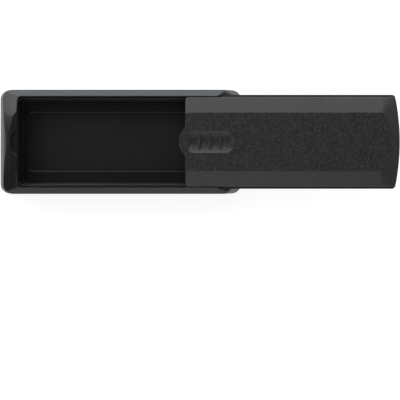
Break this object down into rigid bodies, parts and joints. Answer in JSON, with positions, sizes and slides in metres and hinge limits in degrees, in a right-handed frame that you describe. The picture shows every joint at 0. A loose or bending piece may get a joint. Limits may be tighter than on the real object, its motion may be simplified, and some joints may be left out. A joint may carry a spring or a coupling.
{
  "type": "magnetic key holder box",
  "caption": "Slide-top plastic key box with sloped ends, a long chamfered sliding cover with a thumb scoop, and a flat magnetic back.",
  "frame": {"origin": "centre of the flat magnetic back, where the box clings to steel", "axes": "+X the way the cover slides open, +Y across the box, +Z out of the cover, away from the steel"},
  "size_m": [0.2218, 0.0588, 0.03],
  "materials": {
    "tray_plastic": "satin",
    "cover_plastic": "fine grain",
    "card": "matte",
    "ferrite": "matte",
    "pole_steel": "satin",
    "screw_steel": "satin"
  },
  "bodies": {
    "tray": {"tray_body": "tray_plastic", "floor_card": "card", "magnet_left": "ferrite", "magnet_right": "ferrite", "pole_plate_left_front": "pole_steel", "pole_plate_left_rear": "pole_steel", "pole_plate_right_front": "pole_steel", "pole_plate_right_rear": "pole_steel", "back_plate": "tray_plastic", "back_plate_screws": "screw_steel"},
    "cover": {"sliding_cover": "cover_plastic"}
  },
  "joints": [
    {"name": "cover_slide", "type": "slide", "parent": "tray", "child": "cover", "axis": [1, 0, 0], "range_m": [-0.091, 0]}
  ]
}
